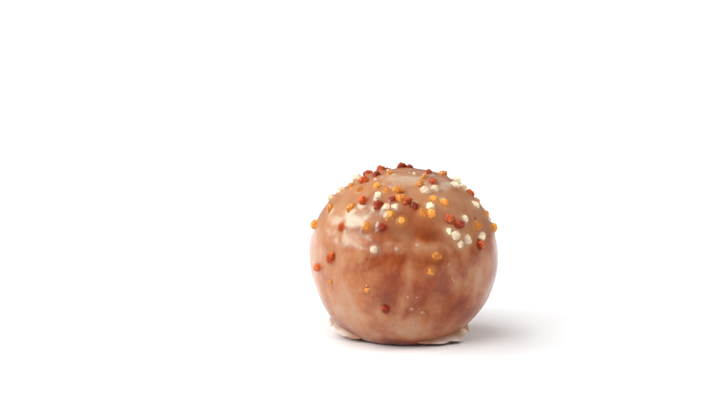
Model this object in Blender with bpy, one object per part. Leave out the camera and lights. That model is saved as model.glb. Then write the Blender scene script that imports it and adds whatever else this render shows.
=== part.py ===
# A glazed doughnut hole: a ball of fried dough, flat where it rests, with sugar sprinkles
# stuck all over its upper side and small feet of set glaze round its base. It is one solid,
# +Z up, with the origin in the middle of the flat face it rests on. Lengths are in metres.

import math
import random

import bmesh
import bpy
from mathutils import Matrix, Vector, noise

MM = 0.001

# The ball of dough with its glaze
BALL_WIDTH = 36.0 * MM
BALL_DEPTH = 35.2 * MM
DOME_HEIGHT = 16.4 * MM  # from the widest level up to the top
BELLY_HEIGHT = 15.3 * MM  # from the resting face up to the widest level
BASE_ROUNDING = 0.8 * MM  # how softly the side turns into the flat base
BALL_SEGMENTS = 48
BALL_RINGS = 30
LUMP_DEPTH = 0.35 * MM
LUMPS_ROUND_BALL = 1.5
DIMPLE_DEPTH = 0.14 * MM
DIMPLES_ROUND_BALL = 4.0
LUMP_PLACE = Vector((3.1, 7.4, 1.9))  # where in the noise the ball's lumps are taken from

# The sprinkles
SPRINKLE_RADIUS = 0.74 * MM
SPRINKLE_VARIATION = 0.18  # of the radius, either way
SPRINKLE_STRETCH = 0.30  # a long one is up to this much longer than wide
SPRINKLE_SINK = 0.30  # of the radius, into the glaze
SPRINKLE_GAP = 1.75 * MM  # least distance between two that aren't in a cluster
CLUSTER_GAP = 1.25 * MM
CLUSTER_SHARE = 0.34
SPRINKLED_ANGLE = 74.0  # degrees from the top, where the sprinkles end
DENSE_ANGLE = 46.0  # degrees from the top, to which they lie at full density
SCATTERED_COUNT = 54
FRONT_SHARE = 0.04  # of the density at the back, as the chosen sprinkles fill the front
FRONT_REACH = 0.25  # how far over the rim the front goes, of the ball's radius
SPRINKLE_SEED = 5

# Each colour as it renders, and its share of the scattered sprinkles
SPRINKLE_COLOURS = {
    "dark_red": ((0.33, 0.030, 0.012), 0.20),
    "red": ((0.55, 0.085, 0.018), 0.20),
    "orange": ((0.80, 0.27, 0.045), 0.33),
    "cream": ((0.88, 0.76, 0.55), 0.27),
}

# Sprinkles that stand out at the front, in millimetres to the right of and above the middle
# of the ball, as seen by an eye that looks down on it by FRONT_LOOK_DOWN degrees
FRONT_LOOK_DOWN = 12.0
FRONT_SPRINKLES = {
    "dark_red": (
        (-4.9, 9.6), (-4.1, 5.5), (-2.2, 10.7), (8.4, 7.1), (10.2, 6.1), (14.4, 2.3), (-3.5, -9.9),
        (-6.8, 15.6), (-5.1, 15.2), (-0.3, 17.1), (1.2, 17.1), (4.7, 15.7), (5.4, 14.1), (1.9, 9.5),
    ),
    "red": (
        (-7.5, 14.2), (-7.7, 10.5), (-11.7, 5.5), (-13.8, -0.2), (-16.3, -2.1), (0.6, 10.3),
        (-4.3, 16.6), (12.5, 11.9),
    ),
    "orange": (
        (-10.0, 9.2), (-9.9, 13.2), (-8.4, 12.5), (-5.0, 13.2), (-3.3, 12.5), (-2.6, 15.6),
        (-1.1, 12.4), (-0.7, 11.0), (-2.6, 8.0), (-0.5, 6.7), (-7.0, 5.7), (-13.8, 9.0),
        (-16.8, 6.1), (3.9, 14.8), (3.0, 13.5), (7.5, 15.4), (3.5, 8.2), (5.0, 7.9), (5.5, 10.8),
        (13.7, 5.7), (15.6, 8.0), (17.0, 5.4), (6.1, 0.2), (5.0, -2.7),
    ),
    "cream": (
        (-4.8, 11.4), (-1.6, 9.3), (-3.3, 9.3), (-11.9, 12.4), (-8.9, 14.8), (-13.6, 11.0),
        (-5.6, 1.4), (4.0, 12.3), (5.8, 12.6), (9.7, 13.4), (11.2, 12.9), (13.5, 9.7), (4.9, 9.4),
        (11.4, 7.1), (8.3, 4.8), (9.6, 4.0), (11.8, 3.2), (10.5, 2.4), (14.7, 3.8),
    ),
}

# Feet of glaze that ran down and set: degrees round from +X, height and size of each
GLAZE_FEET = (
    (187.0, 2.7 * MM, 1.00),
    (206.0, 1.1 * MM, 0.70),
    (341.0, 2.0 * MM, 0.80),
    (326.0, 1.3 * MM, 1.00),
    (306.0, 0.9 * MM, 0.75),
    (62.0, 1.6 * MM, 0.90),
    (118.0, 2.2 * MM, 0.80),
)
FOOT_LENGTH = 2.8 * MM  # half of it, along the ball's side
FOOT_REACH = 1.5 * MM  # half of it, outwards
FOOT_THICKNESS = 0.7 * MM  # half of it, up and down
FOOT_SPRINKLE_TURN = 331.0  # degrees round from +X of the one sprinkle that lies on a foot
FOOT_SPRINKLE_HEIGHT = 2.1 * MM


def oval_radii(direction):
    """The half sizes of the ball on this side of its widest level: a low dome on a full belly."""
    height = DOME_HEIGHT if direction.z > 0 else BALL_WIDTH / 2
    return BALL_WIDTH / 2, BALL_DEPTH / 2, height


def lumps(direction):
    broad = noise.noise(direction * LUMPS_ROUND_BALL + LUMP_PLACE) * LUMP_DEPTH
    small = noise.noise(direction * DIMPLES_ROUND_BALL - LUMP_PLACE) * DIMPLE_DEPTH
    return broad + small


def above_table(height):
    """The height with all that is under the table pressed flat, and a soft turn above it."""
    if height >= BASE_ROUNDING:
        return height
    if height <= -BASE_ROUNDING:
        return 0.0
    return (height + BASE_ROUNDING) ** 2 / (4 * BASE_ROUNDING)


def on_ball(direction):
    """The point of the ball's surface in this direction from its middle."""
    radii = oval_radii(direction)
    oval = 1 / math.sqrt(sum((part / radius) ** 2 for part, radius in zip(direction, radii)))
    point = direction * (oval + lumps(direction))
    point.z = above_table(point.z + BELLY_HEIGHT)
    return point


def outwards(direction):
    """The ball's normal in this direction, without its lumps."""
    radii = oval_radii(direction)
    return Vector(part / radius**2 for part, radius in zip(direction, radii)).normalized()


def towards_eye():
    """The direction from the ball to the eye that the front sprinkles were placed for."""
    tilt = math.radians(FRONT_LOOK_DOWN)
    return Vector((0, -math.cos(tilt), math.sin(tilt)))


def seen_direction(right, up):
    """The direction of the front sprinkle that shows this far right of and above the middle."""
    up_in_view = Vector((1, 0, 0)).cross(-towards_eye())
    wanted = Vector((right, 0, 0)) + up_in_view * up
    aim = wanted.copy()
    for _ in range(8):
        aim.length = min(aim.length, 0.999 * BALL_WIDTH / 2)
        depth = math.sqrt((BALL_WIDTH / 2) ** 2 - aim.length_squared)
        direction = (aim + towards_eye() * depth).normalized()
        shown = on_ball(direction) + outwards(direction) * SPRINKLE_RADIUS * (1 - 2 * SPRINKLE_SINK)
        shown.z -= BELLY_HEIGHT
        shown -= towards_eye() * shown.dot(towards_eye())
        aim += wanted - shown
    return direction


def side_direction(turn, height):
    """The direction of the ball's side this many degrees round from +X, at this height."""
    level = (height - BELLY_HEIGHT) / (BALL_WIDTH / 2)
    width = math.sqrt(1 - level**2)
    around = math.radians(turn)
    return Vector((width * math.cos(around), width * math.sin(around), level))


def cap_direction(draw):
    """A random direction on the sprinkled cap, thinning out towards the cap's edge."""
    lowest = math.cos(math.radians(SPRINKLED_ANGLE))
    while True:
        height = draw.uniform(lowest, 1.0)
        turn = draw.uniform(0, 2 * math.pi)
        angle = math.degrees(math.acos(height))
        share = (SPRINKLED_ANGLE - angle) / (SPRINKLED_ANGLE - DENSE_ANGLE)
        width = math.sqrt(1 - height**2)
        direction = Vector((width * math.cos(turn), width * math.sin(turn), height))
        if draw.random() < share:
            return direction


def direction_beside(direction, draw):
    """A direction one sprinkle away from this one, for a cluster."""
    side = direction.orthogonal().normalized()
    side.rotate(Matrix.Rotation(draw.uniform(0, 2 * math.pi), 3, direction))
    step = draw.uniform(1.05, 1.2) * CLUSTER_GAP / (BALL_WIDTH / 2)
    return (direction + side * step).normalized()


def place_sprinkles(draw):
    """(direction, colour) of every sprinkle: the chosen ones first, then the scattered ones."""
    placed = []
    for colour, spots in FRONT_SPRINKLES.items():
        placed += [(seen_direction(right * MM, up * MM), colour) for right, up in spots]
    colours = list(SPRINKLE_COLOURS)
    shares = [share for _, share in SPRINKLE_COLOURS.values()]
    goal = len(placed) + SCATTERED_COUNT
    while len(placed) < goal:
        clustered = draw.random() < CLUSTER_SHARE
        direction = direction_beside(placed[-1][0], draw) if clustered else cap_direction(draw)
        in_front = direction.dot(towards_eye()) > -FRONT_REACH
        if in_front and draw.random() > FRONT_SHARE:
            continue
        gap = CLUSTER_GAP if clustered else SPRINKLE_GAP
        nearest = min((direction - other).length for other, _ in placed)
        if nearest * BALL_WIDTH / 2 >= gap:
            placed.append((direction, draw.choices(colours, shares)[0]))
    return placed


def make_material(name, colour, roughness):
    material = bpy.data.materials.new(name)
    material.use_nodes = True
    surface = material.node_tree.nodes["Principled BSDF"]
    surface.inputs["Base Color"].default_value = (*colour, 1.0)
    surface.inputs["Roughness"].default_value = roughness
    surface.inputs["Metallic"].default_value = 0.0
    return material


def make_object(name, mesh, collection):
    thing = bpy.data.objects.new(name, mesh)
    collection.objects.link(thing)
    return thing


def make_collection(name):
    collection = bpy.data.collections.new(name)
    bpy.context.scene.collection.children.link(collection)
    return collection


def make_dough(material, collection):
    """The ball, with the faces that lie flat on the table as one round face."""
    shape = bmesh.new()
    bmesh.ops.create_uvsphere(shape, u_segments=BALL_SEGMENTS, v_segments=BALL_RINGS, radius=1.0)
    for vertex in shape.verts:
        vertex.co = on_ball(vertex.co.normalized())
    flat = [face for face in shape.faces if all(vertex.co.z == 0 for vertex in face.verts)]
    bmesh.ops.dissolve_faces(shape, faces=flat)
    mesh = bpy.data.meshes.new("doughnut_hole")
    shape.to_mesh(mesh)
    shape.free()
    mesh.shade_smooth()
    mesh.materials.append(material)
    return make_object("doughnut_hole", mesh, collection)


def blob_mesh(name, detail, material):
    """A round blob of radius 1 m, which every sprinkle or foot brings to its own size."""
    shape = bmesh.new()
    bmesh.ops.create_icosphere(shape, subdivisions=detail, radius=1.0)
    mesh = bpy.data.meshes.new(name)
    shape.to_mesh(mesh)
    shape.free()
    mesh.shade_smooth()
    mesh.materials.append(material)
    return mesh


def add_sprinkle(name, mesh, point, normal, draw, collection):
    radius = SPRINKLE_RADIUS * draw.uniform(1 - SPRINKLE_VARIATION, 1 + SPRINKLE_VARIATION)
    stretch = 1 + draw.uniform(0, SPRINKLE_STRETCH)
    place = Matrix.Translation(point + normal * radius * (1 - 2 * SPRINKLE_SINK))
    facing = normal.to_track_quat("Z", "Y").to_matrix().to_4x4()
    turn = Matrix.Rotation(draw.uniform(0, 2 * math.pi), 4, "Z")
    size = Matrix.Diagonal((radius * stretch, radius, radius, 1.0))
    sprinkle = make_object(name, mesh, collection)
    sprinkle.matrix_world = place @ facing @ turn @ size


def add_sprinkles(collection):
    draw = random.Random(SPRINKLE_SEED)
    meshes = {}
    for name, (colour, _) in SPRINKLE_COLOURS.items():
        material = make_material(f"{name}_sprinkles", colour, 0.45)
        meshes[name] = blob_mesh(f"{name}_sprinkle", 1, material)
    for number, (direction, colour) in enumerate(place_sprinkles(draw)):
        name = f"sprinkle_{number}"
        add_sprinkle(name, meshes[colour], on_ball(direction), outwards(direction), draw, collection)
    direction = side_direction(FOOT_SPRINKLE_TURN, FOOT_SPRINKLE_HEIGHT)
    beyond = on_ball(direction) + outwards(direction) * SPRINKLE_RADIUS
    add_sprinkle("foot_sprinkle", meshes["cream"], beyond, Vector((0, 0, 1)), draw, collection)


def add_glaze_feet(collection):
    """Low flaps of set glaze, half inside the ball near its base."""
    material = make_material("set_glaze", (0.72, 0.52, 0.42), 0.25)
    mesh = blob_mesh("glaze_foot", 2, material)
    for number, (turn, height, scale) in enumerate(GLAZE_FEET):
        place = Matrix.Translation(on_ball(side_direction(turn, height)))
        facing = Matrix.Rotation(math.radians(turn), 4, "Z")
        size = Vector((FOOT_REACH, FOOT_LENGTH, FOOT_THICKNESS)) * scale
        foot = make_object(f"glaze_foot_{number}", mesh, collection)
        foot.matrix_world = place @ facing @ Matrix.Diagonal((*size, 1.0))


def drop_inner_shells(mesh):
    """Keeps the outer skin alone, which fills a hollow sealed between toppings."""
    shape = bmesh.new()
    shape.from_mesh(mesh)
    shells = []
    for first in shape.faces:
        if first.tag:
            continue
        first.tag = True
        shell = [first]
        for face in shell:
            beside = {other for edge in face.edges for other in edge.link_faces if not other.tag}
            for other in beside:
                other.tag = True
            shell += beside
        shells.append(shell)
    outer = max(shells, key=len)
    inner = [face for shell in shells if shell is not outer for face in shell]
    bmesh.ops.delete(shape, geom=inner, context="FACES")
    shape.to_mesh(mesh)
    shape.free()


def fuse(body, collection):
    """Joins all that the collection holds to the body as one closed solid, and removes it."""
    union = body.modifiers.new("fuse toppings", "BOOLEAN")
    union.operation = "UNION"
    union.operand_type = "COLLECTION"
    union.collection = collection
    union.solver = "EXACT"
    union.material_mode = "TRANSFER"
    graph = bpy.context.evaluated_depsgraph_get()
    fused = bpy.data.meshes.new_from_object(body.evaluated_get(graph))
    drop_inner_shells(fused)
    body.modifiers.clear()
    body.data = fused
    for thing in list(collection.objects):
        bpy.data.objects.remove(thing)
    bpy.data.collections.remove(collection)


def main():
    for thing in list(bpy.data.objects):
        bpy.data.objects.remove(thing)
    food = make_collection("doughnut_hole")
    toppings = make_collection("toppings")
    dough = make_dough(make_material("glazed_dough", (0.46, 0.22, 0.11), 0.32), food)
    add_sprinkles(toppings)
    add_glaze_feet(toppings)
    fuse(dough, toppings)


if __name__ == "__main__":
    main()
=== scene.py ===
import math
import random

import bmesh
import bpy
from mathutils import Matrix, Vector, kdtree, noise


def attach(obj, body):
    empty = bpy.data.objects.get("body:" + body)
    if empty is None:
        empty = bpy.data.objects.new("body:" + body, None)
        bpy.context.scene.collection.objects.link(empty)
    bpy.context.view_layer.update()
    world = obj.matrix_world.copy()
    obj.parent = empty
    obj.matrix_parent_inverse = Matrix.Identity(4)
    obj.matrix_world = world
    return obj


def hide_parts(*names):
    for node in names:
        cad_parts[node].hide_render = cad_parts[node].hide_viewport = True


# A glazed doughnut hole with sugar sprinkles, looked at from a little above on a white table.
# Lengths are in metres unless a note says otherwise, and directions start in the ball's middle.

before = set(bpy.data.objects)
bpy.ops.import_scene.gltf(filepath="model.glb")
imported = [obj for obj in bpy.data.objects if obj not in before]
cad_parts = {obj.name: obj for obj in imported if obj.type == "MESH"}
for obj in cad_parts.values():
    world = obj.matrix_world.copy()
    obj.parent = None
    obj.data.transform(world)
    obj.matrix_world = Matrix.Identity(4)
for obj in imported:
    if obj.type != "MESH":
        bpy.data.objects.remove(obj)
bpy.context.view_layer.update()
mm = 0.001

# the ball's own form, the same as the solid's

ball = {
    "width": 36.0 * mm,
    "depth": 35.2 * mm,
    "domeHeight": 16.4 * mm,
    "bellyHeight": 15.3 * mm,  # from the table up to the widest level
    "baseRounding": 0.8 * mm,
    "lumpDepth": 0.35 * mm,
    "lumpsRound": 1.5,
    "dimpleDepth": 0.14 * mm,
    "dimplesRound": 4.0,
    "lumpPlace": Vector((3.1, 7.4, 1.9)),
    "lookDown": 12.0,  # degrees, of the eye that the front is arranged for
}


def ovalRadii(direction):
    height = ball["domeHeight"] if direction.z > 0 else ball["width"] / 2
    return ball["width"] / 2, ball["depth"] / 2, height


def lumps(direction):
    broad = noise.noise(direction * ball["lumpsRound"] + ball["lumpPlace"]) * ball["lumpDepth"]
    small = noise.noise(direction * ball["dimplesRound"] - ball["lumpPlace"]) * ball["dimpleDepth"]
    return broad + small


def aboveTable(height):
    turn = ball["baseRounding"]
    if height >= turn:
        return height
    if height <= -turn:
        return 0.0
    return (height + turn) ** 2 / (4 * turn)


def onBall(direction, lift=0.0):
    # the point of the dough's surface that way, or that far above it
    radii = ovalRadii(direction)
    oval = 1 / math.sqrt(sum((part / radius) ** 2 for part, radius in zip(direction, radii)))
    point = direction * (oval + lumps(direction) + lift)
    point.z = aboveTable(point.z + ball["bellyHeight"])
    return point


def outwards(direction):
    radii = ovalRadii(direction)
    return Vector(part / radius**2 for part, radius in zip(direction, radii)).normalized()


def towardsEye():
    tilt = math.radians(ball["lookDown"])
    return Vector((0, -math.cos(tilt), math.sin(tilt)))


def upInView():
    return Vector((1, 0, 0)).cross(-towardsEye())


def seenPlace(direction):
    # where this way shows, in millimetres right of and above the middle, and how much it faces the eye
    radius = ball["width"] / 2 / mm
    return direction.x * radius, direction.dot(upInView()) * radius, direction.dot(towardsEye())


def sideDirection(turn, height):
    level = (height - ball["bellyHeight"]) / (ball["width"] / 2)
    flat = math.sqrt(1 - level**2)
    return Vector((flat * math.cos(math.radians(turn)), flat * math.sin(math.radians(turn)), level))


def angleFromTop(direction):
    return math.degrees(math.acos(max(-1, min(1, direction.z))))


def smoothStep(low, high, value):
    share = max(0, min(1, (value - low) / (high - low)))
    return share * share * (3 - 2 * share)


# small helpers for meshes and materials


def meshPiece(name, shape, material):
    # a finished bmesh as a smooth piece that stands for the solid
    mesh = bpy.data.meshes.new(name)
    shape.to_mesh(mesh)
    shape.free()
    mesh.shade_smooth()
    mesh.materials.append(material)
    piece = bpy.data.objects.new(name, mesh)
    bpy.context.scene.collection.objects.link(piece)
    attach(piece, "root")
    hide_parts("doughnut_hole")
    print(f"{name}: {len(mesh.polygons)} faces")


def newMaterial(name):
    material = bpy.data.materials.new(name)
    material.use_nodes = True
    return material, material.node_tree, material.node_tree.nodes["Principled BSDF"]


def addNode(tree, kind, inputs=None, **settings):
    node = tree.nodes.new(kind)
    for key, value in settings.items():
        setattr(node, key, value)
    for key, value in (inputs or {}).items():
        if isinstance(value, bpy.types.NodeSocket):
            tree.links.new(value, node.inputs[key])
        else:
            node.inputs[key].default_value = value
    return node


def placedCoordinates(tree, stretch=(1, 1, 1), shift=(0, 0, 0)):
    where = addNode(tree, "ShaderNodeTexCoord")
    inputs = {"Vector": where.outputs["Object"], "Scale": stretch, "Location": shift}
    return addNode(tree, "ShaderNodeMapping", inputs).outputs["Vector"]


def noisePattern(tree, vector, scale, detail=3.0, roughness=0.5, distortion=0.0):
    inputs = {"Vector": vector, "Scale": scale, "Detail": detail, "Roughness": roughness}
    inputs["Distortion"] = distortion
    return addNode(tree, "ShaderNodeTexNoise", inputs).outputs["Fac"]


def colourRamp(tree, factor, stops):
    ramp = addNode(tree, "ShaderNodeValToRGB", {"Fac": factor})
    elements = ramp.color_ramp.elements
    while len(elements) < len(stops):
        elements.new(0.5)
    for element, (place, colour) in zip(elements, stops):
        element.position = place
        element.color = (*colour, 1.0)
    return ramp.outputs["Color"]


def mapRange(tree, value, fromLow, fromHigh, toLow, toHigh):
    inputs = {"Value": value, "From Min": fromLow, "From Max": fromHigh}
    inputs.update({"To Min": toLow, "To Max": toHigh})
    return addNode(tree, "ShaderNodeMapRange", inputs, clamp=True).outputs["Result"]


def doMath(tree, operation, first, second):
    return addNode(tree, "ShaderNodeMath", {0: first, 1: second}, operation=operation).outputs[0]


def mixColours(tree, factor, first, second):
    node = addNode(tree, "ShaderNodeMix", data_type="RGBA")
    sockets = [s for s in node.inputs if s.enabled]
    for socket, value in zip(sockets, (factor, first, second)):
        if isinstance(value, bpy.types.NodeSocket):
            tree.links.new(value, socket)
        elif isinstance(value, tuple):
            socket.default_value = (*value, 1.0)
        else:
            socket.default_value = value
    return next(s for s in node.outputs if s.enabled)


def addBump(tree, surface, height, distance):
    bump = addNode(tree, "ShaderNodeBump", {"Height": height, "Distance": distance, "Strength": 1.0})
    tree.links.new(bump.outputs["Normal"], surface.inputs["Normal"])
    tree.links.new(bump.outputs["Normal"], surface.inputs["Coat Normal"])


# the fried dough and the thin glaze all over it

dough = {
    "detail": 7,  # a facet every half millimetre or less
    "wrinkleDepth": 0.05 * mm,
    "wrinklesRound": 11.0,
    "darkBrown": (0.120, 0.018, 0.003),
    "brown": (0.270, 0.044, 0.006),
    "tan": (0.430, 0.135, 0.036),
    "pale": (0.480, 0.268, 0.160),
    "veilColour": (0.485, 0.298, 0.190),  # thin glaze, where it whitens
    "milkColour": (0.452, 0.214, 0.100),  # thick glaze, over brown crust
    "tones": (0.30, 0.45, 0.59, 0.74),  # where the four crust colours lie
    "broadScale": 110.0,
    "broadShare": 0.50,
    "patchScale": 260.0,
    "patchShare": 0.38,
    "patchStretch": (1, 1, 0.8),
    "grainScale": 1300.0,
    "grainShare": 0.12,
    "spotToneShift": 0.09,  # how far the spots below move the tone
    "spotsEnd": 0.35,  # they fade where the surface faces the eye less than this
    "streakScale": 380.0,
    "streakStretch": (1, 1, 0.45),
    "streakShift": (0.013, 0.002, 0.021),
    "veilOfStreaks": (0.28, 0.98, 0.0, 0.56),  # from a range of streaks to a range of veil
    "veilOfBrowningAndShading": (0.2, 0.8, 1.5, 0.0),  # and what multiplies it
    "veilOfTone": (0.42, 0.56, 0.35, 1.1),
}

# tones that stand out at the front, crust colour in most, painted shade and painted light in some (marked
# below):
# millimetres right of and above the middle, the half width and half height in millimetres, and how much
# browner (or with a minus, how much paler) it is
toneAndShadeSpots = (
    (-10.6, -3.0, 2.0, 2.0, 0.3),
    (-1.8, -3.2, 3.0, 3.6, 0.8),
    (-2.0, -8.0, 3.0, 3.0, 0.2),
    (4.7, 3.8, 2.8, 2.0, 1.0),
    (0.3, 7.9, 4.8, 3.2, 0.75),
    (-4.6, 4.6, 2.6, 2.0, 0.5),
    (5.6, -2.0, 2.6, 2.2, 0.35),
    (9.2, -8.0, 2.0, 2.6, 0.5),
    (13.6, -3.0, 2.8, 5.5, -0.55),
    # painted shade: the lower right darker, where it is turned from the light
    (10.0, -11.0, 3.0, 3.0, 0.95),
    (3.2, -9.0, 2.2, 2.6, 0.3),
    (0.9, -2.2, 0.9, 3.4, -0.6),
    (3.6, -4.6, 2.6, 2.4, 0.7),
    # painted shade: the lower right darker, as above
    (13.4, -8.2, 2.6, 3.0, 0.6),
    (9.8, -3.8, 2.6, 3.4, -0.6),
    (-7.2, -1.0, 1.6, 2.4, -0.5),
    (0.0, -7.5, 1.2, 2.4, -0.5),
    # the next four make the lower left paler: partly the crust's pale tone, partly painted light from the
    # white table below
    (-2.6, -13.4, 6.5, 2.8, -1.3),
    (-13.7, -7.3, 4.0, 5.0, -0.5),
    (-7.0, -13.4, 4.2, 2.6, -1.1),
    (-12.4, -9.6, 2.8, 2.8, -0.5),
    (-9.0, 2.4, 3.0, 1.2, 0.2),
    # painted sheen: the left edge paler, for the white room mirrored at the grazing edge
    (-13.8, 1.0, 3.6, 5.8, -1.1),
    (-0.3, 2.0, 5.2, 1.2, -1.4),
    (-8.2, 5.1, 4.0, 0.8, 1.2),
    (10.5, 3.8, 3.2, 2.4, -0.8),
    (10.2, 9.7, 3.6, 3.0, -1.1),
    (6.9, 2.1, 2.4, 1.2, -0.7),
    (-6.0, 12.2, 2.6, 2.0, -0.5),
    # painted shade: a dark band along the bottom rim, just over the table
    (-0.3, -16.4, 7.5, 0.9, 1.3),
)


# the spots as an attribute, 0.5 where there are none: higher is browner crust and painted shade, lower is
# paler crust and painted light
def browningAndShading(direction):
    right, up, facing = seenPlace(direction)
    total = 0.0
    for spotRight, spotUp, halfWidth, halfHeight, amount in toneAndShadeSpots:
        away = ((right - spotRight) / halfWidth) ** 2 + ((up - spotUp) / halfHeight) ** 2
        total += amount * math.exp(-away)
    return 0.5 + 0.5 * total * smoothStep(0.0, dough["spotsEnd"], facing)


def glazedColour(tree, milk=None):
    # browned crust in patches a little taller than wide, whitened by the glaze on it; the spots' attribute
    # adds their painted shade and painted light
    tall = placedCoordinates(tree, dough["patchStretch"])
    broad = noisePattern(tree, placedCoordinates(tree), dough["broadScale"], detail=2.0)
    patches = noisePattern(tree, tall, dough["patchScale"], detail=2.0, distortion=0.3)
    grain = noisePattern(tree, tall, dough["grainScale"], detail=2.0)
    brownedAndShaded = addNode(tree, "ShaderNodeAttribute", attribute_name="browningAndShading").outputs["Fac"]
    shift = dough["spotToneShift"]
    tone = doMath(tree, "MULTIPLY", broad, dough["broadShare"])
    tone = doMath(tree, "ADD", tone, doMath(tree, "MULTIPLY", patches, dough["patchShare"]))
    tone = doMath(tree, "ADD", tone, doMath(tree, "MULTIPLY", grain, dough["grainShare"]))
    tone = doMath(tree, "ADD", tone, mapRange(tree, brownedAndShaded, 0.0, 1.0, shift, -shift))
    colours = (dough["darkBrown"], dough["brown"], dough["tan"], dough["pale"])
    crust = colourRamp(tree, tone, tuple(zip(dough["tones"], colours)))
    runs = placedCoordinates(tree, dough["streakStretch"], dough["streakShift"])
    streaks = noisePattern(tree, runs, dough["streakScale"], roughness=0.55, distortion=0.4)
    veil = mapRange(tree, streaks, *dough["veilOfStreaks"])
    veil = doMath(tree, "MULTIPLY", veil, mapRange(tree, brownedAndShaded, *dough["veilOfBrowningAndShading"]))
    veil = doMath(tree, "MULTIPLY", veil, mapRange(tree, tone, *dough["veilOfTone"]))
    colour = mixColours(tree, veil, crust, dough["veilColour"])
    if milk is not None:
        colour = mixColours(tree, milk, colour, dough["milkColour"])
    bled = addNode(tree, "ShaderNodeAttribute", attribute_name="bled")
    colour = mixColours(tree, bled.outputs["Alpha"], colour, bled.outputs["Color"])
    return colour, streaks


wetSkin = {
    "fineScale": 1500.0,
    "fineShare": 0.25,
    "rippleScale": 300.0,
    "bump": 0.06 * mm,
    "smoothest": 0.34,  # roughness of what lies under the skin
    "roughest": 0.50,
    "underGloss": 0.1,
    "roughness": 0.20,
    "ior": 1.34,
    "subsurface": 0.12,
    "lightReach": (1.0, 0.5, 0.3),  # millimetres, of red, green and blue light
}


def wetSugar(tree, surface, streaks):
    # one wet skin, under which light goes a little way into the glaze and the crust
    fine = noisePattern(tree, placedCoordinates(tree), wetSkin["fineScale"], roughness=0.6)
    ripple = noisePattern(tree, placedCoordinates(tree), wetSkin["rippleScale"], detail=2.0)
    height = doMath(tree, "ADD", streaks, doMath(tree, "MULTIPLY", fine, wetSkin["fineShare"]))
    addBump(tree, surface, doMath(tree, "ADD", height, ripple), wetSkin["bump"])
    roughness = mapRange(tree, fine, 0.3, 0.7, wetSkin["smoothest"], wetSkin["roughest"])
    tree.links.new(roughness, surface.inputs["Roughness"])
    surface.inputs["Specular IOR Level"].default_value = wetSkin["underGloss"]
    surface.inputs["Coat Weight"].default_value = 1.0
    surface.inputs["Coat Roughness"].default_value = wetSkin["roughness"]
    surface.inputs["Coat IOR"].default_value = wetSkin["ior"]
    surface.inputs["Subsurface Weight"].default_value = wetSkin["subsurface"]
    surface.inputs["Subsurface Radius"].default_value = wetSkin["lightReach"]
    surface.inputs["Subsurface Scale"].default_value = 1.0 * mm


def doughMaterial():
    material, tree, surface = newMaterial("thinlyGlazedCrust")
    colour, streaks = glazedColour(tree)
    tree.links.new(colour, surface.inputs["Base Color"])
    wetSugar(tree, surface, streaks)
    return material


def wrinkles(direction):
    return noise.noise(direction * dough["wrinklesRound"]) * dough["wrinkleDepth"]


# the sprinkles: where each lies, the same as on the solid

sprinkles = {
    "radius": 0.74 * mm,
    "variation": 0.18,
    "stretch": 0.30,
    "sink": 0.30,  # of the radius, into the dough's surface
    "coated": 1.06,  # how much wider its skin of glaze makes it
    "gap": 1.75 * mm,
    "clusterGap": 1.25 * mm,
    "clusterShare": 0.34,
    "clusterStep": (1.05, 1.2),  # from one to the next, of clusterGap
    "edgeAngle": 74.0,  # degrees from the top
    "denseAngle": 46.0,
    "scatteredCount": 54,
    "frontShare": 0.04,  # of the density at the back
    "frontReach": 0.25,  # how far over the rim the front goes, of the ball's radius
    "seed": 5,
    "fitted": (
        (-7.0, 5.7, 0.80), (-0.5, 6.7, 0.70), (-3.5, -9.9, 0.82), (5.0, -2.7, 0.85), (-16.3, -2.1, 0.75),
        (10.2, 6.1, 1.20), (8.4, 7.1, 1.10), (-4.1, 5.5, 1.15), (-11.7, 5.5, 1.15), (-7.7, 10.5, 1.20),
        (-10.0, 9.2, 1.12),
    ),  # some of the front that look smaller or larger than their solids: which, and by how much
    "footTurn": 331.0,
    "footHeight": 2.1 * mm,
}

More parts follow.
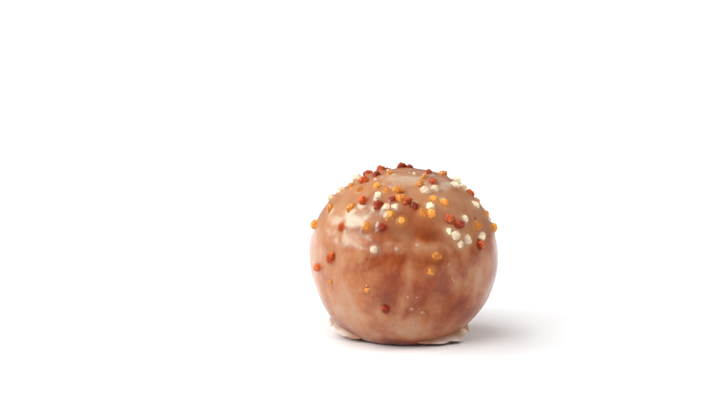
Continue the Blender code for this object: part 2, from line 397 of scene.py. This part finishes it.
# one entry for each colour: its share of the scattered ones, and those that stand out at the
# front, in millimetres right of and above the ball's middle
sprinkleKinds = {
    "darkRed": {
        "share": 0.20,
        "front": (
            (-4.9, 9.6), (-4.1, 5.5), (-2.2, 10.7), (8.4, 7.1), (10.2, 6.1), (14.4, 2.3), (-3.5, -9.9),
            (-6.8, 15.6), (-5.1, 15.2), (-0.3, 17.1), (1.2, 17.1), (4.7, 15.7), (5.4, 14.1), (1.9, 9.5),
        ),
        "colour": (0.33, 0.026, 0.003),
        "rough": 0.26,
        "shade": 0.56,
        "bleeds": (0.30, 0.045, 0.010),
        "slot": "dark_red_sprinkles",
    },
    "red": {
        "share": 0.20,
        "front": (
            (-7.5, 14.2), (-7.7, 10.5), (-11.7, 5.5), (-13.8, -0.2), (-16.3, -2.1), (0.6, 10.3),
            (-4.3, 16.6), (12.5, 11.9),
        ),
        "colour": (0.45, 0.060, 0.005),
        "rough": 0.26,
        "shade": 0.58,
        "bleeds": (0.42, 0.085, 0.018),
        "slot": "red_sprinkles",
    },
    "orange": {
        "share": 0.33,
        "front": (
            (-10.0, 9.2), (-9.9, 13.2), (-8.4, 12.5), (-5.0, 13.2), (-3.3, 12.5), (-2.6, 15.6),
            (-1.1, 12.4), (-0.7, 11.0), (-2.6, 8.0), (-0.5, 6.7), (-7.0, 5.7), (-13.8, 9.0),
            (-16.8, 6.1), (3.9, 14.8), (3.0, 13.5), (7.5, 15.4), (3.5, 8.2), (5.0, 7.9), (5.5, 10.8),
            (13.7, 5.7), (15.6, 8.0), (17.0, 5.4), (6.1, 0.2), (5.0, -2.7),
        ),
        "colour": (0.76, 0.255, 0.040),
        "rough": 0.36,
        "shade": 0.62,
        "bleeds": (0.66, 0.290, 0.070),
        "slot": "orange_sprinkles",
    },
    "cream": {
        "share": 0.27,
        "front": (
            (-4.8, 11.4), (-1.6, 9.3), (-3.3, 9.3), (-11.9, 12.4), (-8.9, 14.8), (-13.6, 11.0),
            (-5.6, 1.4), (4.0, 12.3), (5.8, 12.6), (9.7, 13.4), (11.2, 12.9), (13.5, 9.7), (4.9, 9.4),
            (11.4, 7.1), (8.3, 4.8), (9.6, 4.0), (11.8, 3.2), (10.5, 2.4), (14.7, 3.8),
        ),
        "colour": (0.87, 0.65, 0.45),
        "rough": 0.26,
        "shade": 0.74,
        "bleeds": (0.58, 0.400, 0.275),
        "slot": "cream_sprinkles",
    },
}


def seenDirection(right, up):
    # the way to the front sprinkle that shows this far right of and above the ball's middle
    wanted = Vector((right, 0, 0)) + upInView() * up
    radius = ball["width"] / 2
    aim = wanted.copy()
    for _ in range(8):  # each round comes nearer
        aim.length = min(aim.length, 0.999 * radius)
        deep = math.sqrt(radius**2 - aim.length_squared)
        direction = (aim + towardsEye() * deep).normalized()
        proud = sprinkles["radius"] * (1 - 2 * sprinkles["sink"])
        shown = onBall(direction) + outwards(direction) * proud
        shown.z -= ball["bellyHeight"]
        shown -= towardsEye() * shown.dot(towardsEye())
        aim += wanted - shown
    return direction


def capDirection(draw):
    # a random way on the sprinkled cap, thinning out towards its edge
    lowest = math.cos(math.radians(sprinkles["edgeAngle"]))
    while True:
        height = draw.uniform(lowest, 1.0)
        turn = draw.uniform(0, 2 * math.pi)
        angle = math.degrees(math.acos(height))
        share = (sprinkles["edgeAngle"] - angle) / (sprinkles["edgeAngle"] - sprinkles["denseAngle"])
        flat = math.sqrt(1 - height**2)
        direction = Vector((flat * math.cos(turn), flat * math.sin(turn), height))
        if draw.random() < share:
            return direction


def directionBeside(direction, draw):
    side = direction.orthogonal().normalized()
    side.rotate(Matrix.Rotation(draw.uniform(0, 2 * math.pi), 3, direction))
    step = draw.uniform(*sprinkles["clusterStep"]) * sprinkles["clusterGap"] / (ball["width"] / 2)
    return (direction + side * step).normalized()


def placeSprinkles(draw):
    placed = []
    for kind, facts in sprinkleKinds.items():
        for right, up in facts["front"]:
            placed.append((seenDirection(right * mm, up * mm), kind))
    kinds = list(sprinkleKinds)
    shares = [sprinkleKinds[kind]["share"] for kind in kinds]
    goal = len(placed) + sprinkles["scatteredCount"]
    while len(placed) < goal:
        clustered = draw.random() < sprinkles["clusterShare"]
        direction = directionBeside(placed[-1][0], draw) if clustered else capDirection(draw)
        inFront = direction.dot(towardsEye()) > -sprinkles["frontReach"]
        if inFront and draw.random() > sprinkles["frontShare"]:
            continue
        gap = sprinkles["clusterGap"] if clustered else sprinkles["gap"]
        nearest = min((direction - other).length for other, _ in placed)
        if nearest * ball["width"] / 2 >= gap:
            placed.append((direction, draw.choices(kinds, shares)[0]))
    return placed


def sprinkleMatrix(point, normal, draw):
    radius = sprinkles["radius"] * draw.uniform(1 - sprinkles["variation"], 1 + sprinkles["variation"])
    stretch = 1 + draw.uniform(0, sprinkles["stretch"])
    place = Matrix.Translation(point + normal * radius * (1 - 2 * sprinkles["sink"]))
    facing = normal.to_track_quat("Z", "Y").to_matrix().to_4x4()
    turn = Matrix.Rotation(draw.uniform(0, 2 * math.pi), 4, "Z")
    return place @ facing @ turn @ Matrix.Diagonal((radius * stretch, radius, radius, 1.0))


def allSprinkles():
    # (kind, matrix, direction) of each one
    draw = random.Random(sprinkles["seed"])
    found = []
    for direction, kind in placeSprinkles(draw):
        found.append((kind, sprinkleMatrix(onBall(direction), outwards(direction), draw), direction))
    direction = sideDirection(sprinkles["footTurn"], sprinkles["footHeight"])
    beyond = onBall(direction) + outwards(direction) * sprinkles["radius"]
    found.append(("cream", sprinkleMatrix(beyond, Vector((0, 0, 1)), draw), direction))
    return found


def fittedSize(direction):
    nearEnough = 0.001
    for right, up, size in sprinkles["fitted"]:
        if (seenDirection(right * mm, up * mm) - direction).length < nearEnough:
            return size
    return 1.0


# what the sprinkles are made of

sugar = {
    "detail": 3,  # of the rounded mesh
    "lumpsRound": 1.3,
    "lumpDepth": 0.32,  # of the radius
    "knobsRound": 3.0,
    "eachScale": 330.0,  # a pattern that changes from one sprinkle to the next
    "grainScale": 2300.0,
    "lightened": 1.35,
    # the glint is painted: lightened grains stand in for sparkles of light on the sugar
    "glint": (0.20, 0.09, 0.03),  # what the lightest grains have on top of that
    "tones": (0.39, 0.51, 0.60),  # where the shaded, the plain and the lightened colour lie
    "bump": 0.28 * mm,
    "roughness": 0.40,
    "gloss": 0.15,
    "coat": 0.3,
    "coatRoughness": 0.10,
    "subsurface": 0.35,
    "lightReach": (1.0, 0.6, 0.4),  # of red, green and blue light, times the next
    "lightScale": 0.4 * mm,
}


def sprinkleMaterial(kind, facts):
    material, tree, surface = newMaterial(f"{kind}Sugar")
    where = placedCoordinates(tree)
    each = noisePattern(tree, where, sugar["eachScale"], detail=1.0)
    grain = noisePattern(tree, where, sugar["grainScale"], roughness=0.6)
    plain = facts["colour"]
    darker = tuple(part * facts["shade"] for part in plain)
    # the lightest grains are the plain colour brightened, with a painted glint on top
    lighter = tuple(min(1, part * sugar["lightened"] + glint) for part, glint in zip(plain, sugar["glint"]))
    tone = doMath(tree, "ADD", doMath(tree, "MULTIPLY", each, 0.5), doMath(tree, "MULTIPLY", grain, 0.5))
    stops = tuple(zip(sugar["tones"], (darker, plain, lighter)))
    tree.links.new(colourRamp(tree, tone, stops), surface.inputs["Base Color"])
    addBump(tree, surface, grain, sugar["bump"])
    surface.inputs["Roughness"].default_value = sugar["roughness"]
    surface.inputs["Specular IOR Level"].default_value = sugar["gloss"]
    surface.inputs["Coat Weight"].default_value = sugar["coat"]
    surface.inputs["Coat Roughness"].default_value = sugar["coatRoughness"]
    surface.inputs["Subsurface Weight"].default_value = sugar["subsurface"]
    surface.inputs["Subsurface Radius"].default_value = sugar["lightReach"]
    surface.inputs["Subsurface Scale"].default_value = sugar["lightScale"]
    return material


def addGrain(shape, matrix, detail, rough, draw, radius=1.0):
    # a round grain with a lumpy skin of its own
    made = bmesh.ops.create_icosphere(shape, subdivisions=detail, radius=radius)["verts"]
    own = Vector((draw.uniform(0, 50), draw.uniform(0, 50), draw.uniform(0, 50)))
    for vertex in made:
        lump = noise.noise(vertex.co * sugar["lumpsRound"] + own) * sugar["lumpDepth"]
        knob = noise.noise(vertex.co * sugar["knobsRound"] - own) * rough
        vertex.co *= 1 + (lump + knob)
    bmesh.ops.transform(shape, matrix=matrix, verts=made)


def makeSprinkles(places, crumbPlaces):
    for kind, facts in sprinkleKinds.items():
        draw = random.Random(kind)
        shape = bmesh.new()
        for wanted, matrix, direction in places:
            if wanted == kind:
                size = sprinkles["coated"] * fittedSize(direction)
                addGrain(shape, matrix, sugar["detail"], facts["rough"], draw, size)
        for wanted, matrix in crumbPlaces:
            if wanted == kind:
                addGrain(shape, matrix, crumbs["detail"], facts["rough"], draw)
        meshPiece(f"{kind}Sprinkles", shape, sprinkleMaterial(kind, facts))


# crumbs of broken sprinkles and flecks of set glaze, too small for the solid
crumbs = {
    "front": (
        ("orange", -14.0, -4.8, 0.42), ("orange", -7.0, -6.3, 0.45), ("orange", -13.6, -0.9, 0.25),
        ("orange", -7.1, -5.4, 0.22), ("orange", -3.3, 7.0, 0.35), ("orange", -2.2, 7.2, 0.30),
        ("red", -7.1, -0.4, 0.20), ("darkRed", 4.3, 9.2, 0.25), ("red", 12.5, -10.2, 0.20),
        ("cream", 2.0, 15.7, 0.50), ("cream", 1.1, 15.9, 0.30), ("cream", -3.0, 16.4, 0.36),
        ("cream", -5.4, 14.6, 0.40), ("orange", -0.3, 7.6, 0.30),
    ),  # colour, millimetres right of and above the middle, and radius in millimetres
    "scatteredCount": 70,
    "smallest": 0.12 * mm,
    "largest": 0.30 * mm,
    "longest": 1.5,  # of the width, flecks too
    "sink": 0.45,
    "detail": 1,
    "seed": 11,
}
flecks = {
    "front": (
        (-1.4, 1.5, 0.50), (1.4, -9.9, 0.34), (2.0, -12.5, 0.30), (3.5, -10.6, 0.40), (8.5, -1.4, 0.24),
        (0.7, -7.7, 0.22), (13.7, -4.0, 0.22), (2.5, 2.3, 0.40), (-12.0, -12.0, 0.20), (9.5, -4.6, 0.18),
    ),  # millimetres right of and above the middle, and radius in millimetres
    "scatteredCount": 18,
    "smallest": 0.12 * mm,
    "largest": 0.32 * mm,
    "flatness": 0.20,
    "sink": 0.4,
    "rough": 0.3,
    "lowest": -0.75,  # of the ball's radius, under its middle
    "highest": 0.5,  # and over it
    "seed": 23,
    "colour": (0.56, 0.33, 0.220),
    "shade": 0.75,
    "cloudScale": 900.0,
    "smoothest": 0.35,
    "roughest": 0.55,
    "bump": 0.05 * mm,
    "gloss": 0.05,
    "subsurface": 0.3,
    "lightScale": 0.5 * mm,
}


def grainMatrix(direction, radius, flatness, sink, draw):
    place = Matrix.Translation(onBall(direction) + outwards(direction) * radius * flatness * (1 - 2 * sink))
    facing = outwards(direction).to_track_quat("Z", "Y").to_matrix().to_4x4()
    turn = Matrix.Rotation(draw.uniform(0, 2 * math.pi), 4, "Z")
    stretch = draw.uniform(1.0, crumbs["longest"])
    return place @ facing @ turn @ Matrix.Diagonal((radius * stretch, radius, radius * flatness, 1.0))


def allCrumbs():
    draw = random.Random(crumbs["seed"])
    found = []
    for kind, right, up, radius in crumbs["front"]:
        direction = seenDirection(right * mm, up * mm)
        found.append((kind, grainMatrix(direction, radius * mm, 1.0, crumbs["sink"], draw)))
    for _ in range(crumbs["scatteredCount"]):
        direction = capDirection(draw)
        radius = draw.uniform(crumbs["smallest"], crumbs["largest"])
        kind = draw.choice(list(sprinkleKinds))
        found.append((kind, grainMatrix(direction, radius, 1.0, crumbs["sink"], draw)))
    return found


def fleckDirection(draw):
    height = draw.uniform(flecks["lowest"], flecks["highest"])
    turn = draw.uniform(0, 2 * math.pi)
    flat = math.sqrt(1 - height**2)
    return Vector((flat * math.cos(turn), flat * math.sin(turn), height))


def fleckMaterial():
    material, tree, surface = newMaterial("glazeFleck")
    cloud = noisePattern(tree, placedCoordinates(tree), flecks["cloudScale"], detail=2.0)
    dull = tuple(part * flecks["shade"] for part in flecks["colour"])
    stops = ((0.35, dull), (0.65, flecks["colour"]))
    tree.links.new(colourRamp(tree, cloud, stops), surface.inputs["Base Color"])
    roughness = mapRange(tree, cloud, 0.3, 0.7, flecks["smoothest"], flecks["roughest"])
    tree.links.new(roughness, surface.inputs["Roughness"])
    addBump(tree, surface, cloud, flecks["bump"])
    surface.inputs["Specular IOR Level"].default_value = flecks["gloss"]
    surface.inputs["Subsurface Weight"].default_value = flecks["subsurface"]
    surface.inputs["Subsurface Scale"].default_value = flecks["lightScale"]
    return material


def addFleck(shape, direction, radius, draw):
    matrix = grainMatrix(direction, radius, flecks["flatness"], flecks["sink"], draw)
    addGrain(shape, matrix, crumbs["detail"], flecks["rough"], draw)


def makeFlecks():
    draw = random.Random(flecks["seed"])
    shape = bmesh.new()
    for right, up, radius in flecks["front"]:
        addFleck(shape, seenDirection(right * mm, up * mm), radius * mm, draw)
    for _ in range(flecks["scatteredCount"]):
        radius = draw.uniform(flecks["smallest"], flecks["largest"])
        addFleck(shape, fleckDirection(draw), radius, draw)
    meshPiece("glazeFlecks", shape, fleckMaterial())


# how the sprinkles' colour bleeds into what they lie on, and the dough with it

bleed = {
    "amount": 0.45,
    "full": 0.55 * mm,  # from a sprinkle's middle
    "fade": 0.60 * mm,
}


def sprinkleTree(places):
    tree = kdtree.KDTree(len(places))
    for number, (_, _, direction) in enumerate(places):
        tree.insert(direction, number)
    tree.balance()
    return tree


def bleeding(direction, places, nearby):
    _, number, away = nearby.find(direction)
    beyond = max(0, away * ball["width"] / 2 - bleed["full"])
    amount = bleed["amount"] * math.exp(-((beyond / bleed["fade"]) ** 2))
    return (*sprinkleKinds[places[number][0]]["bleeds"], amount)


def makeDough(places, nearby):
    shape = bmesh.new()
    bmesh.ops.create_icosphere(shape, subdivisions=dough["detail"], radius=1.0)
    brownedAndShaded = shape.verts.layers.float.new("browningAndShading")
    bled = shape.verts.layers.float_color.new("bled")
    for vertex in shape.verts:
        direction = vertex.co.normalized()
        vertex[brownedAndShaded] = browningAndShading(direction)
        vertex[bled] = bleeding(direction, places, nearby)
        vertex.co = onBall(direction, wrinkles(direction))
    meshPiece("friedDough", shape, doughMaterial())


# the thick milky glaze on the dome

glaze = {
    "thickness": 0.20 * mm,
    "ramp": 2.2 * mm,  # from the edge to where it has two thirds of that
    "edgeAngle": 73.0,  # degrees from the top
    "edgeWander": 9.0,  # degrees either way
    "wavesRound": 1.6,  # of the edge
    "rippleShare": 0.45,  # of that wander, in ripples along the edge
    "ripplesRound": 5.0,
    "edgePlaces": (Vector((0, 0, 4.2)), Vector((0, 0, 8.7))),  # in the noise, of waves and ripples
    "swell": 0.05 * mm,
    "swellsRound": 6.0,
    "swellPlace": Vector((9, 2, 5)),
    "settled": 1.5 * mm,  # in from the edge, where swell and meniscus are full
    "dive": 0.3,  # how steeply it goes into the crust past its edge
    "deepest": 0.25 * mm,  # in the crust, where it ends
    "meniscus": 0.40 * mm,  # how far it climbs a sprinkle
    "meniscusReach": 1.0 * mm,
    "wall": 0.30 * mm,
    "milkLow": 0.30,
    "milkHigh": 0.75,
    "milkFrom": -0.02 * mm,  # of depth
    "milkFull": 0.20 * mm,
    "milkOfBrowningAndShading": (0.4, 1.0, 1.2, 0.2),  # from a range of browning to what multiplies the milk
    "cloudScale": 150.0,
    "frontDrips": ((-87.0, 5.0, 5.0), (-67.0, 3.0, 9.0)),  # turn, length and width in degrees
    "dripCount": 11,  # of the others
    "firstDrip": -50.0,  # degrees round from +X
    "dripsSpread": 285.0,
    "dripPlaces": (0.2, 0.8),  # within its share of the spread
    "dripLength": 5.0,  # degrees, of the longest
    "dripLengths": (0.25, 1.0),  # of that
    "dripWidth": 7.0,  # degrees
    "dripWidths": (0.6, 1.3),  # of that
    "seed": 3,
}


def glazeDrips():
    draw = random.Random(glaze["seed"])
    drips = list(glaze["frontDrips"])
    for number in range(glaze["dripCount"]):
        along = number + draw.uniform(*glaze["dripPlaces"])
        turn = glaze["firstDrip"] + glaze["dripsSpread"] * along / glaze["dripCount"]
        length = glaze["dripLength"] * draw.uniform(*glaze["dripLengths"])
        drips.append((turn, length, glaze["dripWidth"] * draw.uniform(*glaze["dripWidths"])))
    return drips


def glazeEdge(turn, drips):
    # how many degrees from the top the glaze ends, this many degrees round
    around = Vector((math.cos(math.radians(turn)), math.sin(math.radians(turn)), 0))
    wavePlace, ripplePlace = glaze["edgePlaces"]
    edge = glaze["edgeAngle"]
    edge += noise.noise(around * glaze["wavesRound"] + wavePlace) * glaze["edgeWander"]
    ripple = noise.noise(around * glaze["ripplesRound"] + ripplePlace)
    edge += ripple * glaze["edgeWander"] * glaze["rippleShare"]
    for dripTurn, length, width in drips:
        away = (turn - dripTurn + 180) % 360 - 180
        edge += length * math.exp(-((away / width) ** 2))
    return edge


def glazeDepth(direction, drips, nearest):
    turn = math.degrees(math.atan2(direction.y, direction.x))
    inside = math.radians(glazeEdge(turn, drips) - angleFromTop(direction)) * ball["width"] / 2
    if inside <= 0:
        return -glaze["dive"] * inside**2 / glaze["ramp"]  # level with the crust where it crosses it
    depth = glaze["thickness"] * (1 - math.exp(-((inside / glaze["ramp"]) ** 2)))
    settled = smoothStep(0, glaze["settled"], inside)
    swell = noise.noise(direction * glaze["swellsRound"] + glaze["swellPlace"])
    depth += settled * glaze["swell"] * swell
    depth += settled * glaze["meniscus"] * math.exp(-((nearest / glaze["meniscusReach"]) ** 2))
    return depth


def glazeMaterial():
    material, tree, surface = newMaterial("milkyGlaze")
    cloud = noisePattern(tree, placedCoordinates(tree), glaze["cloudScale"], distortion=0.3)
    thick = addNode(tree, "ShaderNodeAttribute", attribute_name="milk").outputs["Fac"]
    brownedAndShaded = addNode(tree, "ShaderNodeAttribute", attribute_name="browningAndShading").outputs["Fac"]
    milk = mapRange(tree, cloud, 0.35, 0.65, glaze["milkLow"], glaze["milkHigh"])
    milk = doMath(tree, "MULTIPLY", milk, mapRange(tree, brownedAndShaded, *glaze["milkOfBrowningAndShading"]))
    colour, streaks = glazedColour(tree, doMath(tree, "MULTIPLY", milk, thick))
    tree.links.new(colour, surface.inputs["Base Color"])
    wetSugar(tree, surface, streaks)
    return material


def makeGlaze(places, nearby):
    drips = glazeDrips()
    lowest = glaze["edgeAngle"] + 2 * glaze["edgeWander"] + glaze["dripLength"]
    shape = bmesh.new()
    bmesh.ops.create_icosphere(shape, subdivisions=dough["detail"], radius=1.0)
    outside = [v for v in shape.verts if angleFromTop(v.co.normalized()) > lowest]
    bmesh.ops.delete(shape, geom=outside, context="VERTS")
    milk = shape.verts.layers.float.new("milk")
    brownedAndShaded = shape.verts.layers.float.new("browningAndShading")
    bled = shape.verts.layers.float_color.new("bled")
    under = []
    for vertex in shape.verts:
        direction = vertex.co.normalized()
        nearest = nearby.find(direction)[2] * ball["width"] / 2
        depth = glazeDepth(direction, drips, nearest)
        vertex[bled] = bleeding(direction, places, nearby)
        vertex[milk] = smoothStep(glaze["milkFrom"], glaze["milkFull"], depth)
        vertex[brownedAndShaded] = browningAndShading(direction)
        vertex.co = onBall(direction, wrinkles(direction) + depth)
        if depth < -glaze["deepest"]:
            under.append(vertex)
    bmesh.ops.delete(shape, geom=under, context="VERTS")
    bmesh.ops.solidify(shape, geom=shape.faces, thickness=glaze["wall"])
    # the rim's faces come in any order, so all get a fixed one
    ordered = sorted(shape.faces, key=lambda face: face.calc_center_median()[:])
    for number, face in enumerate(ordered):
        face.index = number
    shape.faces.sort()
    meshPiece("milkyGlaze", shape, glazeMaterial())


# feet of set glaze round the base, which run into one another as thin aprons

feet = {
    "places": (
        (187.0, 1.00),
        (206.0, 0.70),
        (341.0, 0.80),
        (326.0, 1.00),
        (306.0, 0.75),
        (62.0, 0.90),
        (118.0, 0.80),
    ),  # degrees round from +X, size
    "aprons": (
        (317.0, 33.0, 0.9 * mm, 2.4 * mm),
        (197.0, 24.0, 3.7 * mm, 1.0 * mm),
        (62.0, 20.0, 1.4 * mm, 2.2 * mm),
        (118.0, 22.0, 2.8 * mm, 1.6 * mm),
    ),  # degrees round to the middle and from there to the ends, height at both ends
    "detail": 6,  # of the rounded mesh
    "reach": 1.35 * mm,
    "between": 0.35,  # of the reach, between two feet
    "footWidth": 9.0,  # degrees
    "thickness": 0.8 * mm,
    "thinning": 0.6,  # of the thickness, at the rim
    "slope": 0.9,
    "wavesRound": 0.21,  # to a degree
    "wavesApart": 3.1,  # in the noise, from one apron's to the next one's
    "waveShare": 0.35,  # of the reach
    "lumpsPerMm": 0.9,
    "lumpDepth": 0.12 * mm,
    "clearance": 0.05 * mm,  # over the table
    "rootColour": (0.42, 0.215, 0.135),
    "colour": (0.78, 0.69, 0.63),
    "lightened": 1.12,
    "shade": 0.80,
    "paleOut": (0.4, 1.05),  # from the root to the rim, where the root's colour ends and its own is full
    "paleFeet": (0.4, 0.9),  # and the same by how far it reaches
    "cloudScale": 380.0,
    "grainScale": 1200.0,
    "bump": 0.08 * mm,
    "smoothest": 0.38,
    "roughest": 0.52,
    "gloss": 0.2,
    "coat": 0.5,
    "coatRoughness": 0.25,
    "subsurface": 0.7,
    "lightReach": (1.0, 0.7, 0.5),  # millimetres, of red, green and blue light
}


def footMaterial():
    material, tree, surface = newMaterial("setGlaze")
    cloud = noisePattern(tree, placedCoordinates(tree), feet["cloudScale"])
    pale = tuple(min(1, part * feet["lightened"]) for part in feet["colour"])
    dull = tuple(part * feet["shade"] for part in feet["colour"])
    stops = ((0.35, dull), (0.5, feet["colour"]), (0.65, pale))
    tip = addNode(tree, "ShaderNodeAttribute", attribute_name="tip").outputs["Fac"]
    colour = mixColours(tree, tip, feet["rootColour"], colourRamp(tree, cloud, stops))
    tree.links.new(colour, surface.inputs["Base Color"])
    grain = noisePattern(tree, placedCoordinates(tree), feet["grainScale"], detail=2.0)
    addBump(tree, surface, grain, feet["bump"])
    roughness = mapRange(tree, cloud, 0.3, 0.7, feet["smoothest"], feet["roughest"])
    tree.links.new(roughness, surface.inputs["Roughness"])
    surface.inputs["Specular IOR Level"].default_value = feet["gloss"]
    surface.inputs["Coat Weight"].default_value = feet["coat"]
    surface.inputs["Coat Roughness"].default_value = feet["coatRoughness"]
    surface.inputs["Subsurface Weight"].default_value = feet["subsurface"]
    surface.inputs["Subsurface Radius"].default_value = feet["lightReach"]
    surface.inputs["Subsurface Scale"].default_value = 1.0 * mm
    return material


def apronReach(angle):
    # how far it stands out this many degrees round, most at the feet
    share = feet["between"]
    for turn, size in feet["places"]:
        away = (angle - turn + 180) % 360 - 180
        share += (size - feet["between"]) * math.exp(-((away / feet["footWidth"]) ** 2))
    return feet["reach"] * share


def addApron(shape, tip, number, turn, halfTurn, firstHeight, lastHeight):
    made = bmesh.ops.create_icosphere(shape, subdivisions=feet["detail"], radius=1.0)["verts"]
    for vertex in made:
        out, along, up = vertex.co
        angle = turn + along * halfTurn
        share = apronReach(angle) / feet["reach"]
        vertex[tip] = smoothStep(*feet["paleOut"], out) * smoothStep(*feet["paleFeet"], share)
        wave = noise.noise(Vector((angle * feet["wavesRound"], number * feet["wavesApart"], 0.5)))
        height = firstHeight + (lastHeight - firstHeight) * (0.5 + 0.5 * along)
        base = onBall(sideDirection(angle, height))
        level = Matrix.Rotation(math.radians(angle), 3, "Z") @ Vector((1, 0, 0))
        beyond = max(0, out) * apronReach(angle) * (1 + feet["waveShare"] * wave)
        lump = noise.noise((base + level * beyond) / mm * feet["lumpsPerMm"]) * feet["lumpDepth"]
        rise = up * feet["thickness"] * (1 - feet["thinning"] * max(0, out))
        vertex.co = base + level * (beyond + min(0, out) * feet["reach"])
        vertex.co.z += rise - feet["slope"] * beyond + lump


def makeFeet():
    shape = bmesh.new()
    tip = shape.verts.layers.float.new("tip")
    for number, facts in enumerate(feet["aprons"]):
        addApron(shape, tip, number, *facts)
    for vertex in shape.verts:
        vertex.co.z = max(vertex.co.z, feet["clearance"])
    meshPiece("glazeFeet", shape, footMaterial())


# table, light and camera

stage = {
    "tableWidth": 6.0,
    "tableColour": (0.90, 0.90, 0.90),
    "tableRoughness": 0.9,
    "tableGloss": 0.1,
    "white": 0.22,  # brightness of the room all round
    "daylight": (0.56, 0.94, 0.88),  # tint of the windows in the wet skin, cooler than the lamps
}
# degrees round from the right, up from the table and rolled about its middle, width and height
# in metres, brightness, and what it does: light the scene or show in the wet skin
softBoxes = {
    "window": (184.0, 44.0, 38.0, 0.56, 0.34, 19.0, "mirrored"),
    "windowSide": (160.0, 28.0, 40.0, 0.45, 0.22, 8.0, "mirrored"),
    "lowerPane": (197.0, 24.5, 18.0, 0.66, 0.12, 18.5, "mirrored"),
    "backPanel": (79.0, 44.0, 20.0, 0.62, 0.42, 2.7, "mirrored"),
    "leftBack": (160.0, 34.0, 0.0, 0.90, 0.40, 3.8, "lighting"),
    "leftFront": (210.0, 31.0, 0.0, 0.90, 0.40, 6.1, "lighting"),
    "highBack": (130.0, 54.0, 0.0, 0.50, 0.50, 3.5, "lighting"),
    "highRight": (345.0, 46.0, 0.0, 0.60, 0.60, 3.8, "lighting"),
    "overEye": (245.0, 62.0, 0.0, 0.60, 0.60, 3.0, "lighting"),
}
picture = {
    "ballPixelX": 403.5,
    "ballPixelY": 256.0,
    "ballPixelWidth": 189.5,
    "pixelsWide": 720,
    "pixelsHigh": 400,
    "distance": 1.0,
    "sensor": 36.0,  # millimetres
}


def makeTable():
    shape = bmesh.new()
    bmesh.ops.create_grid(shape, x_segments=1, y_segments=1, size=stage["tableWidth"] / 2)
    mesh = bpy.data.meshes.new("table")
    shape.to_mesh(mesh)
    shape.free()
    material, _, surface = newMaterial("whiteTable")
    surface.inputs["Base Color"].default_value = (*stage["tableColour"], 1.0)
    surface.inputs["Roughness"].default_value = stage["tableRoughness"]
    surface.inputs["Specular IOR Level"].default_value = stage["tableGloss"]
    mesh.materials.append(material)
    table = bpy.data.objects.new("table", mesh)
    bpy.context.scene.collection.objects.link(table)


def softBox(name, turn, rise, roll, width, height, brightness, use):
    # a soft box one metre off that faces the ball
    level = math.cos(math.radians(rise))
    way = Vector((level * math.cos(math.radians(turn)), level * math.sin(math.radians(turn)), 0))
    way.z = math.sin(math.radians(rise))
    light = bpy.data.lights.new(name, "AREA")
    light.shape = "RECTANGLE"
    light.size = width
    light.size_y = height
    light.energy = brightness * math.pi * width * height
    if use == "mirrored":
        light.color = stage["daylight"]
    lamp = bpy.data.objects.new(name, light)
    lamp.location = way + Vector((0, 0, ball["bellyHeight"]))
    facing = (-way).to_track_quat("-Z", "Y").to_matrix()
    lamp.rotation_euler = (facing @ Matrix.Rotation(math.radians(roll), 3, "Z")).to_euler()
    lamp.visible_glossy = use == "mirrored"
    lamp.visible_diffuse = use == "lighting"
    bpy.context.scene.collection.objects.link(lamp)


def makeLight():
    world = bpy.data.worlds.new("whiteRoom")
    world.use_nodes = True
    background = world.node_tree.nodes["Background"]
    background.inputs["Color"].default_value = (1, 1, 1, 1)
    background.inputs["Strength"].default_value = stage["white"]
    bpy.context.scene.world = world
    for name, facts in softBoxes.items():
        softBox(name, *facts)
    bpy.context.scene.view_settings.view_transform = "Standard"


def makeCamera():
    metresPerPixel = ball["width"] / picture["ballPixelWidth"]
    right = (picture["pixelsWide"] / 2 - picture["ballPixelX"]) * metresPerPixel
    up = (picture["ballPixelY"] - picture["pixelsHigh"] / 2) * metresPerPixel
    aim = Vector((right, 0, ball["bellyHeight"])) + upInView() * up
    data = bpy.data.cameras.new("camera")
    data.sensor_width = picture["sensor"]
    data.lens = picture["sensor"] * picture["distance"] / (picture["pixelsWide"] * metresPerPixel)
    camera = bpy.data.objects.new("camera", data)
    camera.location = aim + towardsEye() * picture["distance"]
    camera.rotation_euler = (-towardsEye()).to_track_quat("-Z", "Y").to_euler()
    bpy.context.scene.collection.objects.link(camera)
    bpy.context.scene.camera = camera


print("placing the sprinkles")
places = allSprinkles()
nearby = sprinkleTree(places)
makeDough(places, nearby)
makeGlaze(places, nearby)
makeFeet()
makeFlecks()
makeSprinkles(places, allCrumbs())
print("setting the table, the light and the camera")
makeTable()
makeLight()
makeCamera()
